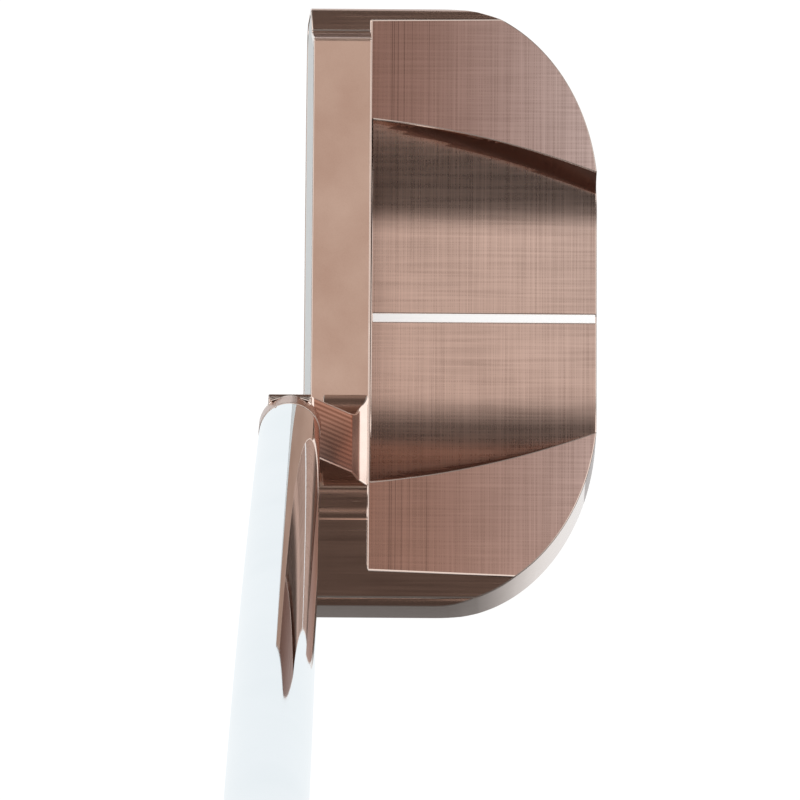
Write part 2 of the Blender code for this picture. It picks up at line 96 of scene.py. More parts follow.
LIE = math.radians(65.0)
AXIS_Y = -27.2 * MM
RIM_X = 32.2 * MM
RIM_HEIGHT = 49.5 * MM
COLLAR_RADIUS = 5.25 * MM
COLLAR_LENGTH = 6.8 * MM
NECK_TOE = 24.2 * MM
NECK_HEEL = 34.6 * MM
BLOCK_TOE = 24.3 * MM
BLOCK_HEEL = 35.6 * MM
BLOCK_TOP = 46.4 * MM
BLOCK_BOTTOM = 33.5 * MM
BLOCK_FRONT = -30.9 * MM
BLOCK_BACK = -23.6 * MM
BLOCK_CHAMFER = 0.9 * MM
FLARE_TOE = 18.4 * MM               # where the neck's flares end on the top line
FLARE_HEEL = 37.2 * MM
NECK_LOW = 18.0 * MM
FOOT_TOP = 27.9 * MM                # top of the neck's foot, which carries a painted highlight
MARKS_LOW = 31.5 * MM               # where the tool marks on its leaning back start

TIP_RADIUS = 5.13 * MM
BODY_RADIUS = 6.12 * MM
TAPER_LENGTH = 250.0 * MM
FIRST_STEP = 505.0 * MM
STEP_SPACING = 44.0 * MM
STEP_RISE = 0.25 * MM
STEP_COUNT = 6
CLUB_LENGTH = 864.0 * MM
GRIP_LENGTH = 267.0 * MM
GRIP_BELLY = 9.6 * MM
GRIP_BELLY_GROWTH = 3.4 * MM
GRIP_HALF_WIDTH = 9.4 * MM
GRIP_WIDTH_GROWTH = 3.9 * MM
GRIP_FLAT = 0.80
GRIP_BULGE = 2.2 * MM
BULGE_PLACE = 0.86
BULGE_LENGTH = 0.16
BUTT = CLUB_LENGTH - RIM_HEIGHT / math.sin(LIE)
GRIP_START = BUTT - GRIP_LENGTH


# ---------------------------------------------------------------- node helpers

class Nodes:
    """Writes a material's node tree in short lines."""

    def __init__(self, name):
        self.material = bpy.data.materials.new(name)
        self.material.use_nodes = True
        self.tree = self.material.node_tree
        self.shader = self.tree.nodes["Principled BSDF"]
        self.coords = self.tree.nodes.new("ShaderNodeTexCoord").outputs["Object"]

    def link(self, value, socket):
        if hasattr(value, "is_output"):
            self.tree.links.new(value, socket)
        else:
            socket.default_value = value

    def set(self, **inputs):
        for name, value in inputs.items():
            self.link(value, self.shader.inputs[name.replace("_", " ")])

    def stretched(self, scale, rotation=(0.0, 0.0, 0.0)):
        mapping = self.tree.nodes.new("ShaderNodeMapping")
        mapping.inputs["Scale"].default_value = scale
        mapping.inputs["Rotation"].default_value = rotation
        self.link(self.coords, mapping.inputs["Vector"])
        return mapping.outputs["Vector"]

    def noise(self, vector, scale=1.0, detail=2.0, roughness=0.5):
        node = self.tree.nodes.new("ShaderNodeTexNoise")
        node.inputs["Scale"].default_value = scale
        node.inputs["Detail"].default_value = detail
        node.inputs["Roughness"].default_value = roughness
        self.link(vector, node.inputs["Vector"])
        return node.outputs["Fac"]

    def math(self, operation, first, second=0.0):
        node = self.tree.nodes.new("ShaderNodeMath")
        node.operation = operation
        for value, socket in zip((first, second), node.inputs):
            self.link(value, socket)
        return node.outputs[0]

    def span(self, value, low, high, to_low, to_high, smooth=False):
        node = self.tree.nodes.new("ShaderNodeMapRange")
        if smooth:
            node.interpolation_type = "SMOOTHSTEP"
        for number, socket in zip((low, high, to_low, to_high), node.inputs[1:5]):
            socket.default_value = number
        self.link(value, node.inputs[0])
        return node.outputs[0]

    def mix(self, share, first, second):
        node = self.tree.nodes.new("ShaderNodeMix")
        node.data_type = "RGBA"
        self.link(share, node.inputs[0])
        for colour, socket in ((first, node.inputs[6]), (second, node.inputs[7])):
            self.link((*colour, 1.0) if isinstance(colour, tuple) else colour, socket)
        return node.outputs[2]

    def part_of(self, vector, axis):
        node = self.tree.nodes.new("ShaderNodeSeparateXYZ")
        self.link(vector, node.inputs[0])
        return node.outputs["XYZ".index(axis)]

    def bump(self, height, strength, distance):
        node = self.tree.nodes.new("ShaderNodeBump")
        node.inputs["Strength"].default_value = strength
        node.inputs["Distance"].default_value = distance
        self.link(height, node.inputs["Height"])
        self.link(node.outputs["Normal"], self.shader.inputs["Normal"])

    def tangent(self, x, y, z):
        node = self.tree.nodes.new("ShaderNodeCombineXYZ")
        for value, socket in zip((x, y, z), node.inputs):
            socket.default_value = value
        self.link(node.outputs[0], self.shader.inputs["Tangent"])


# ---------------------------------------------------------------- materials

COPPER_LIGHT = (0.54, 0.33, 0.25)
COPPER_DEEP = (0.42, 0.24, 0.175)
WARM_COPPER = (0.42, 0.21, 0.14)
# Each mark's place behind the face and its width, in mm
TOOL_MARKS = ((-10.30, 0.09), (-9.96, 0.07), (-9.27, 0.09), (-8.20, 0.07), (-6.85, 0.06), (-3.90, 0.07))


def tool_grain(n):
    """Fine tool lines from heel to toe, crossed by a fainter hatch."""
    along = n.noise(n.stretched((30.0, 5200.0, 30.0)), detail=3.0)
    across = n.noise(n.stretched((2600.0, 60.0, 60.0)), detail=2.0)
    return n.math("ADD", n.math("MULTIPLY", along, 0.6), n.math("MULTIPLY", across, 0.4))


def milled_copper(name, front, back, marks):
    """A milled surface whose colour shifts from front to back. On the wings this shift is painted shade that
    darkens them towards the bar. It also turns warmer towards the heel and has a few deeper tool marks.
    """
    n = Nodes(name)
    grain = tool_grain(n)
    patch = n.noise(n.coords, scale=70.0, detail=3.0)
    y = n.part_of(n.coords, "Y")
    # painted shade: the colour runs from the front colour by the bar to the back colour at the back edge
    share = n.math("POWER", n.span(y, BAR_BACK, BACK_EDGE - 2 * MM, 0.0, 1.0), 1.8)
    colour = n.mix(share, front, back)
    warmth = n.span(n.part_of(n.coords, "X"), -0.5 * HALF_LENGTH, HALF_LENGTH, 0.0, 0.35)
    colour = n.mix(warmth, colour, WARM_COPPER)
    tone = n.math("ADD", n.math("MULTIPLY", grain, 0.8), n.math("MULTIPLY", patch, 0.2))
    colour = n.mix(n.span(tone, 0.38, 0.62, 0.42, 0.0), colour, (0.10, 0.05, 0.035))
    lines = 0.0
    for place, width in marks:
        away = n.math("ABSOLUTE", n.math("SUBTRACT", y, place * MM))
        lines = n.math("ADD", lines, n.span(away, 0.2 * width * MM, width * MM, 1.0, 0.0))
    colour = n.mix(n.math("MULTIPLY", lines, 0.75), colour, (0.08, 0.04, 0.03))
    n.set(Base_Color=colour, Metallic=1.0, Roughness=n.span(grain, 0.3, 0.7, 0.24, 0.34), Anisotropic=0.5)
    n.tangent(0.0, 1.0, 0.0)
    n.bump(grain, 0.10, 0.02 * MM)
    return n.material


def blasted_copper():
    """The top line: an even bead-blasted skin."""
    n = Nodes("blasted_copper")
    fine = n.noise(n.coords, scale=4200.0, detail=2.0)
    patch = n.noise(n.coords, scale=90.0, detail=3.0)
    colour = n.mix(n.span(patch, 0.3, 0.7, 0.0, 1.0), (0.54, 0.345, 0.265), (0.62, 0.42, 0.33))
    n.set(Base_Color=colour, Metallic=1.0, Roughness=n.span(fine, 0.3, 0.7, 0.36, 0.50))
    n.bump(fine, 0.18, 0.02 * MM)
    return n.material


def brushed_copper():
    """The ends, shoulders and side wall: brushed from front to back."""
    n = Nodes("brushed_copper")
    along = n.noise(n.stretched((2400.0, 40.0, 2400.0)), detail=3.0)
    patch = n.noise(n.coords, scale=60.0, detail=3.0)
    tone = n.math("ADD", n.math("MULTIPLY", along, 0.3), n.math("MULTIPLY", patch, 0.7))
    colour = n.mix(n.span(tone, 0.30, 0.70, 0.0, 1.0), COPPER_DEEP, COPPER_LIGHT)
    n.set(Base_Color=colour, Metallic=1.0, Roughness=n.span(along, 0.3, 0.7, 0.18, 0.28))
    n.bump(along, 0.06, 0.02 * MM)
    return n.material


def painted_highlight_copper():
    """Broken edges, the side wall and the neck's foot, with a painted highlight: a far paler copper that
    stands for the bright lines and pale walls that catch the light.
    """
    n = Nodes("painted_highlight_copper")
    cloud = n.noise(n.coords, scale=400.0, detail=3.0)
    # painted highlight: the pale base colour makes the edges and upright walls look lit
    n.set(Base_Color=n.mix(cloud, (0.78, 0.62, 0.54), (0.88, 0.72, 0.64)), Metallic=1.0, Roughness=0.16)
    n.bump(cloud, 0.04, 0.02 * MM)
    return n.material


def shaded_copper():
    """Steep surfaces with painted shade: a dark copy of the milled copper for the hollow's steep walls and
    the neck's strip above its foot.
    """
    n = Nodes("shaded_copper")
    grain = tool_grain(n)
    # painted shade: these dark tones stand for the shade on surfaces turned away from the light
    n.set(Base_Color=n.mix(grain, (0.24, 0.14, 0.11), (0.34, 0.21, 0.165)), Metallic=1.0, Roughness=0.26)
    n.bump(grain, 0.08, 0.02 * MM)
    return n.material


def neck_copper():
    """The neck: clear tool marks that run up its leaning back, with painted shade that darkens them from the
    toe side to the heel side.
    """
    n = Nodes("neck_copper")
    x = n.part_of(n.coords, "X")
    wave = n.math("SINE", n.math("MULTIPLY", x, 2 * math.pi / (0.82 * MM)))
    fine = n.noise(n.stretched((3200.0, 60.0, 60.0)), detail=2.0)
    # painted shade: both tones of the marks darken from the toe side to the heel side
    light = n.mix(n.span(x, NECK_TOE, NECK_HEEL, 0.0, 1.0), (0.78, 0.36, 0.24), (0.30, 0.16, 0.12))
    dark = n.mix(n.span(x, NECK_TOE, NECK_HEEL, 0.0, 1.0), (0.42, 0.15, 0.08), (0.16, 0.08, 0.06))
    colour = n.mix(n.span(n.math("ADD", wave, fine), -0.6, 1.4, 0.0, 1.0), dark, light)
    n.set(Base_Color=colour, Metallic=1.0, Roughness=0.15)
    n.bump(n.math("ADD", n.math("MULTIPLY", wave, 0.4), fine), 0.12, 0.02 * MM)
    return n.material


def milled_face():
    n = Nodes("milled_face_metal")
    mesh = n.noise(n.stretched((2600.0, 2600.0, 2600.0)), detail=2.0)
    x = n.part_of(n.coords, "X")
    z = n.part_of(n.coords, "Z")
    pitch = 2 * math.pi / (0.9 * MM)
    cross = n.math("MULTIPLY", n.math("SINE", n.math("MULTIPLY", x, pitch)),
                   n.math("SINE", n.math("MULTIPLY", z, pitch)))
    relief = n.math("ADD", cross, mesh)
    colour = n.mix(n.span(relief, -0.8, 1.6, 0.0, 1.0), (0.66, 0.65, 0.63), (0.84, 0.83, 0.81))
    n.set(Base_Color=colour, Metallic=1.0, Roughness=0.36)
    n.bump(relief, 0.25, 0.04 * MM)
    return n.material


def chrome():
    n = Nodes("mirror_chrome")
    smear = n.noise(n.coords, scale=40.0, detail=3.0)
    colour = n.mix(n.span(smear, 0.3, 0.7, 0.0, 1.0), (0.83, 0.86, 0.88), (0.88, 0.90, 0.92))
    n.set(Base_Color=colour, Metallic=1.0, Roughness=n.span(smear, 0.3, 0.7, 0.015, 0.035))
    return n.material


def satin_metal(name, light, dark, roughness):
    n = Nodes(name)
    grain = n.noise(n.stretched((60.0, 2600.0, 2600.0)), detail=3.0)
    n.set(Base_Color=n.mix(grain, dark, light), Metallic=1.0, Roughness=roughness)
    n.bump(grain, 0.12, 0.02 * MM)
    return n.material


def white_paint():
    n = Nodes("sight_line_glow")
    fine = n.noise(n.coords, scale=1500.0, detail=2.0)
    # painted light: the paint glows a little, so the sight line stays brighter than its lighting makes it
    n.set(Base_Color=n.mix(fine, (0.88, 0.88, 0.87), (0.94, 0.94, 0.93)), Roughness=0.35,
          Emission_Color=(1.0, 1.0, 1.0, 1.0), Emission_Strength=0.40)
    n.bump(fine, 0.08, 0.02 * MM)
    return n.material


def rubber():
    """The grip: matt rubber with a small diamond relief."""
    n = Nodes("grip_rubber_skin")
    lean = n.stretched((1.0, 1.0, 1.0), (0.0, LIE - math.pi / 2, 0.0))
    y = n.part_of(lean, "Y")
    z = n.part_of(lean, "Z")
    pitch = 2 * math.pi / (3.2 * MM)
    first = n.math("SINE", n.math("MULTIPLY", n.math("ADD", y, z), pitch))
    second = n.math("SINE", n.math("MULTIPLY", n.math("SUBTRACT", y, z), pitch))
    relief = n.math("MAXIMUM", first, second)
    fine = n.noise(n.coords, scale=1800.0, detail=3.0)
    colour = n.mix(n.span(relief, 0.2, 1.0, 0.0, 1.0), (0.030, 0.030, 0.032), (0.018, 0.018, 0.019))
    n.set(Base_Color=colour, Roughness=n.span(fine, 0.3, 0.7, 0.62, 0.82))
    n.bump(n.math("ADD", n.math("MULTIPLY", relief, -0.5), n.math("MULTIPLY", fine, 0.4)), 0.5, 0.25 * MM)
    return n.material


def plain(name, light, dark, roughness):
    n = Nodes(name)
    cloud = n.noise(n.coords, scale=300.0, detail=4.0)
    n.set(Base_Color=n.mix(cloud, dark, light), Roughness=roughness)
    n.bump(cloud, 0.1, 0.05 * MM)
    return n.material


# the wings: painted shade, dark at the front by the bar and light towards the back
MILLED = milled_copper("milled_flange_shade_painted", (0.30, 0.165, 0.13), (0.58, 0.43, 0.39), TOOL_MARKS)
CHANNEL = milled_copper("milled_channel", (0.66, 0.455, 0.375), (0.64, 0.46, 0.39), ())
BLASTED = blasted_copper()
BRUSHED = brushed_copper()
NECK_METAL = neck_copper()
PAINTED_HIGHLIGHT = painted_highlight_copper()
SHADED = shaded_copper()
FACE_METAL = milled_face()
CHROME = chrome()
SOLE_METAL = satin_metal("sole_aluminium_skin", (0.74, 0.73, 0.72), (0.60, 0.59, 0.58), 0.34)
WEIGHT_METAL = satin_metal("weight_steel_skin", (0.62, 0.61, 0.60), (0.48, 0.47, 0.46), 0.28)
PAINT = white_paint()
RUBBER = rubber()
ADHESIVE = plain("adhesive_skin", (0.50, 0.45, 0.34), (0.40, 0.35, 0.26), 0.5)
TAPE = plain("grip_tape_skin", (0.72, 0.66, 0.52), (0.64, 0.58, 0.45), 0.8)
WASHER = plain("washer_skin", (0.09, 0.09, 0.09), (0.06, 0.06, 0.06), 0.5)


# ---------------------------------------------------------------- shape helpers

def add_object(name, mesh, *materials):
    new = bpy.data.objects.new(name, mesh)
    bpy.context.scene.collection.objects.link(new)
    for material in materials:
        mesh.materials.append(material)
    return new


def outline_solid(name, points, low, high, across="Z"):
    """A flat outline extruded from low to high: (x, y) points along Z, (x, z) along Y, (y, z) along X."""
    def place(point, depth):
        if across == "Z":
            return (point[0], point[1], depth)
        if across == "Y":
            return (point[0], depth, point[1])
        return (depth, point[0], point[1])

    shell = bmesh.new()
    near = [shell.verts.new(place(point, low)) for point in points]
    far = [shell.verts.new(place(point, high)) for point in points]
    shell.faces.new(near)
    shell.faces.new(far[::-1])
    for index in range(len(points)):
        after = (index + 1) % len(points)
        shell.faces.new((near[after], near[index], far[index], far[after]))
    bmesh.ops.recalc_face_normals(shell, faces=shell.faces)
    mesh = bpy.data.meshes.new(name)
    shell.to_mesh(mesh)
    shell.free()
    return add_object(name, mesh)


def lofted_solid(name, rings, material=None):
    """A solid through rings of points that run anticlockwise, as seen from the last ring."""
    shell = bmesh.new()
    loops = [[shell.verts.new(point) for point in ring] for ring in rings]
    for before, behind in zip(loops, loops[1:]):
        for index in range(len(before)):
            after = (index + 1) % len(before)
            shell.faces.new((before[index], before[after], behind[after], behind[index]))
    bmesh.ops.triangulate(shell, faces=shell.faces)
    shell.faces.new(loops[0][::-1])
    shell.faces.new(loops[-1])
    mesh = bpy.data.meshes.new(name)
    shell.to_mesh(mesh)
    shell.free()
    return add_object(name, mesh, *([material] if material else []))


def block(name, low, high, rotation=(0.0, 0.0, 0.0)):
    """A box between two corners, turned about its low corner."""
    low, high = Vector(low), Vector(high)
    box = outline_solid(name, [(0, 0), (high.x - low.x, 0), (high.x - low.x, high.y - low.y),
                               (0, high.y - low.y)], 0.0, high.z - low.z)
    box.location = low
    box.rotation_euler = rotation
    return box


def turned(name, profile, material=None, steps=96, closed=True):
    """A profile of (radius, height) points turned about Z."""
    shell = bmesh.new()
    points = [shell.verts.new((radius, 0.0, height)) for radius, height in profile]
    edges = [shell.edges.new(pair) for pair in zip(points, points[1:])]
    if closed:
        edges.append(shell.edges.new((points[-1], points[0])))
    bmesh.ops.spin(shell, geom=points + edges, cent=(0, 0, 0), axis=(0, 0, 1), angle=2 * math.pi,
                   steps=steps, use_merge=True)
    bmesh.ops.remove_doubles(shell, verts=shell.verts, dist=1e-6)
    bmesh.ops.recalc_face_normals(shell, faces=shell.faces)
    mesh = bpy.data.meshes.new(name)
    shell.to_mesh(mesh)
    shell.free()
    return add_object(name, mesh, *([material] if material else []))


def rod(name, radius, low, high, steps=96):
    return turned(name, [(0.0, high), (radius, high), (radius, low), (0.0, low)], None, steps, False)


def combine(target, others, operation):
    """Cuts, joins or intersects the target with other solids, and removes those."""
    for other in others:
        step = target.modifiers.new(other.name, "BOOLEAN")
        step.operation = operation
        step.solver = "EXACT"
        step.object = other
    freeze(target)
    for other in others:
        bpy.data.objects.remove(other, do_unlink=True)
    return target


def cut(target, *others):
    return combine(target, others, "DIFFERENCE")


def freeze(piece):
    """Applies the piece's modifiers to its mesh."""
    bpy.context.view_layer.update()
    evaluated = piece.evaluated_get(bpy.context.evaluated_depsgraph_get())
    mesh = bpy.data.meshes.new_from_object(evaluated)
    piece.modifiers.clear()
    piece.data = mesh


def clean(piece, flat_angle=0.2):
    """Welds the mesh and merges the flat pieces that the cuts left."""
    shell = bmesh.new()
    shell.from_mesh(piece.data)
    bmesh.ops.remove_doubles(shell, verts=shell.verts, dist=2e-6)
    bmesh.ops.dissolve_limit(shell, angle_limit=math.radians(flat_angle), use_dissolve_boundaries=False,
                             verts=shell.verts, edges=shell.edges)
    shell.to_mesh(piece.data)
    shell.free()


def break_edges(piece, width, angle=20.0, segments=2, edge_material=-1, sharp=40.0):
    """The small rounded chamfer that every machined edge has, then clean shading."""
    bevel = piece.modifiers.new("edges", "BEVEL")
    bevel.width = width
    bevel.segments = segments
    bevel.limit_method = "ANGLE"
    bevel.angle_limit = math.radians(angle)
    bevel.use_clamp_overlap = False
    bevel.miter_outer = "MITER_ARC"
    bevel.material = edge_material
    freeze(piece)
    piece.data.shade_smooth()
    piece.data.set_sharp_from_angle(angle=math.radians(sharp))
    normals = piece.modifiers.new("normals", "WEIGHTED_NORMAL")
    normals.keep_sharp = True
    freeze(piece)


def on_shaft_axis(piece, along=0.0):
    lean = math.pi / 2 - LIE
    piece.rotation_euler = (0.0, lean, 0.0)
    piece.location = (RIM_X + along * math.sin(lean), AXIS_Y, RIM_HEIGHT + along * math.cos(lean))
    return piece


def bake_place(piece):
    """Moves the piece's place and turn into its mesh."""
    bpy.context.view_layer.update()
    piece.data.transform(piece.matrix_world)
    piece.matrix_world = Matrix.Identity(4)
    return piece


def finish_piece(piece, slot, *nodes):
    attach(piece, ROOT)
    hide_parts(*nodes)


# ---------------------------------------------------------------- outlines

def arc_points(centre, reach, start, end, steps):
    angles = [math.radians(start + (end - start) * step / steps) for step in range(steps + 1)]
    return [(centre[0] + reach[0] * math.cos(a), centre[1] + reach[1] * math.sin(a)) for a in angles]


def plan_outline(inset=0.0, front=None, steps=40):
    front = LEADING_EDGE if front is None else front
    half = HALF_LENGTH - inset
    back = BACK_EDGE - inset
    reach = CORNER_REACH - Vector((inset, inset))
    corner = Vector((FRONT_CORNER, FRONT_CORNER))
    points = arc_points((half - corner.x, front + corner.y), corner, -90, 0, 6)
    points += arc_points((half - reach.x, back - reach.y), reach, 0, 90, steps)
    points += arc_points((reach.x - half, back - reach.y), reach, 90, 180, steps)
    points += arc_points((corner.x - half, front + corner.y), corner, 180, 270, 6)
    return points


SOLE_RISE = [(20.0, 0.0), (26.0, 0.12), (32.0, 0.3), (37.0, 0.54), (42.0, 0.85), (46.0, 1.25), (49.0, 1.7),
             (51.0, 2.2), (52.2, 2.7), (53.0, 3.4), (53.4, 4.2)]
SIDE_EDGE = [(54.2, 5.4), (54.2, 11.6), (53.5, 13.2), (53.2, 13.8), (52.85, 14.6), (52.4, 15.2)]


def shoulder(low_x, low_z, high_x, steps):
    points = []
    for step in range(steps + 1):
        share = step / steps
        rise = (1 - math.cos(math.pi * share)) / 2
        points.append((low_x + (high_x - low_x) * share,
                       low_z + (TOP_HEIGHT - low_z) * rise))
    return points


def front_outline(steps=24):
    side = [(x * MM, z * MM) for x, z in SOLE_RISE + SIDE_EDGE]
    heel = side + shoulder(SHOULDER_HEEL, HEEL_PAD_HEIGHT, TOP_HEEL, steps)
    toe = shoulder(SHOULDER_TOE, TOE_PAD_HEIGHT, TOP_TOE, steps)[::-1] + [(-x, z) for x, z in side[::-1]]
    return heel + toe


def inset_front_outline(inset):
    points = front_outline(1)
    moved = []
    for index, point in enumerate(points):
        before = (Vector(point) - Vector(points[index - 1])).normalized()
        after = (Vector(points[(index + 1) % len(points)]) - Vector(point)).normalized()
        inward = Vector((-before.y - after.y, before.x + after.x)).normalized()
        stretch = max(inward.dot(Vector((-before.y, before.x))), 0.5)
        moved.append(tuple(Vector(point) + inward * inset / stretch))
    return moved


def hollow_half(y):
    back = y - BAR_BACK
    return HOLLOW_HALF - HOLLOW_NARROWING * back - HOLLOW_CURVE * back * back


def hollow_wall(y, steps=28):
    """The hollow's heel wall, a parabola that turns steeper near the wing, as (x, z) points."""
    depth = WING_HEIGHT - FLOOR_HEIGHT
    reach = hollow_half(y) - FLOOR_HALF
    low_rise = depth * (reach / (HOLLOW_HALF - FLOOR_HALF)) ** 2
    points = []
    for step in range(steps + 1):
        share = 1.0 - (1.0 - step / steps) ** 1.3
        rise = low_rise * share ** 2 + (depth - low_rise) * share ** WALL_TURN
        points.append((FLOOR_HALF + reach * share, FLOOR_HEIGHT + rise))
    return points


# ---------------------------------------------------------------- head

def shear_to_loft(piece):
    """Leans a piece back by the loft, about the leading edge."""
    bake_place(piece)
    for vertex in piece.data.vertices:
        vertex.co.y += vertex.co.z * math.tan(LOFT)
    return piece


def hollow_cutter(count=32):
    front = BAR_BACK + 0.25 * MM
    back = BACK_EDGE + MM
    rings = []
    for step in range(count + 1):
        y = front + (back - front) * step / count
        heel = hollow_wall(y)
        heel.append((heel[-1][0], ABOVE_HEAD))
        toe = [(-x, z) for x, z in heel]
        rings.append([(x, y, z) for x, z in toe + heel[::-1]])
    return lofted_solid("hollow", rings)


def make_head():
    body = outline_solid("head_shell", front_outline(), LEADING_EDGE - 3 * MM, BACK_EDGE + 3 * MM, "Y")
    plan = outline_solid("plan", plan_outline(front=LEADING_EDGE - MM), -MM, ABOVE_HEAD)
    combine(body, [plan], "INTERSECT")
    face_plane = block("face_plane", (-PAST_HEAD, LEADING_EDGE - CUT_MARGIN, -CUT_MARGIN),
                       (PAST_HEAD, LEADING_EDGE, ABOVE_HEAD))
    wings = block("wing_level", (-PAST_HEAD, BAR_BACK, WING_HEIGHT),
                  (PAST_HEAD, PAST_HEAD, ABOVE_HEAD), (-WING_FALL, 0, 0))
    cut(body, shear_to_loft(face_plane), wings, hollow_cutter())
    seat = outline_solid("insert_seat", inset_front_outline(SEAT_INSET),
                         LEADING_EDGE - MM, LEADING_EDGE + SEAT_DEPTH, "Y")
    plate_plan = plan_outline(SOLE_SEAT_MARGIN, LEADING_EDGE + SOLE_SEAT_MARGIN)
    plate_seat = outline_solid("plate_seat", plate_plan, -MM, SOLE_SEAT_TOP)
    groove = block("groove", (-LINE_WIDTH / 2, LINE_FRONT, FLOOR_HEIGHT - LINE_DEPTH),
                   (LINE_WIDTH / 2, PAST_HEAD, ABOVE_HEAD))
    cut(body, shear_to_loft(seat), plate_seat, groove)
    clean(body)
    looks = (BRUSHED, MILLED, BLASTED, CHANNEL, SHADED, PAINTED_HIGHLIGHT)
    body.data.materials.clear()
    for material in looks:
        body.data.materials.append(material)
    # every chamfer gets the pale copper of the painted highlight
    break_edges(body, 0.20 * MM, edge_material=looks.index(PAINTED_HIGHLIGHT), sharp=14.0)
    for face in body.data.polygons:
        if looks[face.material_index] is not PAINTED_HIGHLIGHT:
            face.material_index = looks.index(head_material(face))
    finish_piece(body, "copper_finish", "head_body")


def head_material(face):
    """The material that a face of the head gets, from where it lies and how steep it is: the hollow's steep
    walls get painted shade, near-upright faces a painted highlight.
    """
    centre, normal = face.center, face.normal
    if centre.y > BAR_BACK and abs(centre.x) < HOLLOW_HALF and 4 * MM < centre.z < WING_HEIGHT - 0.8 * MM:
        return CHANNEL if normal.z > 0.6 else SHADED
    if normal.z < 0.2:
        return PAINTED_HIGHLIGHT
    if centre.y > BAR_BACK + 0.1 * MM:
        return MILLED if normal.z > 0.99 else BRUSHED
    return BLASTED if centre.z > TOP_HEIGHT - 0.4 * MM else BRUSHED


def make_face():
    insert = outline_solid("face_plate", inset_front_outline(INSERT_INSET),
                           LEADING_EDGE + INSERT_SETBACK, LEADING_EDGE + INSERT_DEPTH, "Y")
    shear_to_loft(insert)
    insert.data.materials.append(FACE_METAL)
    break_edges(insert, 0.3 * MM)
    finish_piece(insert, "milled_face", "face_insert")


def make_sight_line():
    line = block("line_fill", (-LINE_WIDTH / 2, LINE_FRONT, FLOOR_HEIGHT - LINE_DEPTH),
                 (LINE_WIDTH / 2, BACK_EDGE - 0.25 * MM, FLOOR_HEIGHT - 0.02 * MM))
    bake_place(line)
    line.data.materials.append(PAINT)
    finish_piece(line, "white_paint", "sight_line")


# ---------------------------------------------------------------- neck

# The neck from the side, as (y, z) in mm: up its leaning back, over to the block and down its front
NECK_SIDE = [(-14.0, 20.0), (-14.0, 26.0), (-15.5, 27.9), (-16.7, 32.0), (-23.3, 43.5), (-24.2, 44.0),
             (-25.0, 44.0), (-25.0, 36.0), (-22.0, 31.0), (-21.6, 20.0)]


def make_neck():
    toe_flare = arc_points((FLARE_TOE, 33.0 * MM), (5.8 * MM, 7.1 * MM), -90, 0, 20)
    heel_flare = arc_points((FLARE_HEEL, 32.0 * MM), (2.6 * MM, 8.6 * MM), -90, -180, 20)
    top = BLOCK_TOP + 10 * MM
    front = toe_flare + [(NECK_TOE, top), (NECK_HEEL, top)] + heel_flare[::-1]
    front += [(FLARE_HEEL, NECK_LOW), (FLARE_TOE, NECK_LOW)]
    neck = outline_solid("neck_column", front, -26.0 * MM, BAR_BACK, "Y")
    side = [(y * MM, z * MM) for y, z in NECK_SIDE]
    combine(neck, [outline_solid("neck_side", side, 0.0, PAST_HEAD, "X")], "INTERSECT")
    arm_front = [(BLOCK_TOE, BLOCK_BOTTOM), (BLOCK_HEEL, BLOCK_BOTTOM), (BLOCK_HEEL, BLOCK_TOP),
                 (BLOCK_TOE + BLOCK_CHAMFER, BLOCK_TOP), (BLOCK_TOE, BLOCK_TOP - BLOCK_CHAMFER)]
    arm = outline_solid("neck_arm", arm_front, BLOCK_FRONT, BLOCK_BACK, "Y")
    collar = bake_place(on_shaft_axis(rod("collar", COLLAR_RADIUS, -COLLAR_LENGTH, 0.0)))
    combine(neck, [arm, collar], "UNION")
    clean(neck)
    looks = (BRUSHED, NECK_METAL, SHADED, PAINTED_HIGHLIGHT)
    neck.data.materials.clear()
    for material in looks:
        neck.data.materials.append(material)
    # every chamfer gets the pale copper of the painted highlight
    break_edges(neck, 0.30 * MM, edge_material=looks.index(PAINTED_HIGHLIGHT))
    for face in neck.data.polygons:
        if looks[face.material_index] is not PAINTED_HIGHLIGHT:
            face.material_index = looks.index(neck_material(face))
    finish_piece(neck, "copper_finish", "neck")


def neck_material(face):
    """The neck's materials: a painted highlight on its foot, a strip of painted shade above it and tool marks
    up the leaning back.
    """
    if face.normal.y < 0.3 or abs(face.normal.x) > 0.2:
        return BRUSHED
    if face.center.z > MARKS_LOW:
        return NECK_METAL
    return SHADED if face.center.z > FOOT_TOP else PAINTED_HIGHLIGHT


# ---------------------------------------------------------------- shaft and grip

def shaft_radius(along):
    if along < TAPER_LENGTH:
        share = max(along, 0.0) / TAPER_LENGTH
        return TIP_RADIUS + (BODY_RADIUS - TIP_RADIUS) * share * (2 - share)
    steps = max(0, min(STEP_COUNT, math.floor((along - FIRST_STEP) / STEP_SPACING) + 1))
    return BODY_RADIUS + steps * STEP_RISE


def make_shaft():
    low = 0.15 * MM
    side = [(shaft_radius(TAPER_LENGTH * s / 16), max(low, TAPER_LENGTH * s / 16)) for s in range(17)]
    for step in range(STEP_COUNT):
        at = FIRST_STEP + step * STEP_SPACING
        side += [(shaft_radius(at - MM), at - MM), (shaft_radius(at), at)]
    side.append((shaft_radius(BUTT), BUTT))
    wall = 0.8 * MM
    profile = side[::-1] + [(side[0][0] - wall, low), (side[-1][0] - wall - STEP_RISE * STEP_COUNT, BUTT)]
    shaft = turned("shaft_tube", profile, CHROME, 128)
    shaft.data.shade_smooth()
    shaft.data.set_sharp_from_angle(angle=math.radians(5.0))
    bake_place(on_shaft_axis(shaft))
    finish_piece(shaft, "chrome", "shaft")


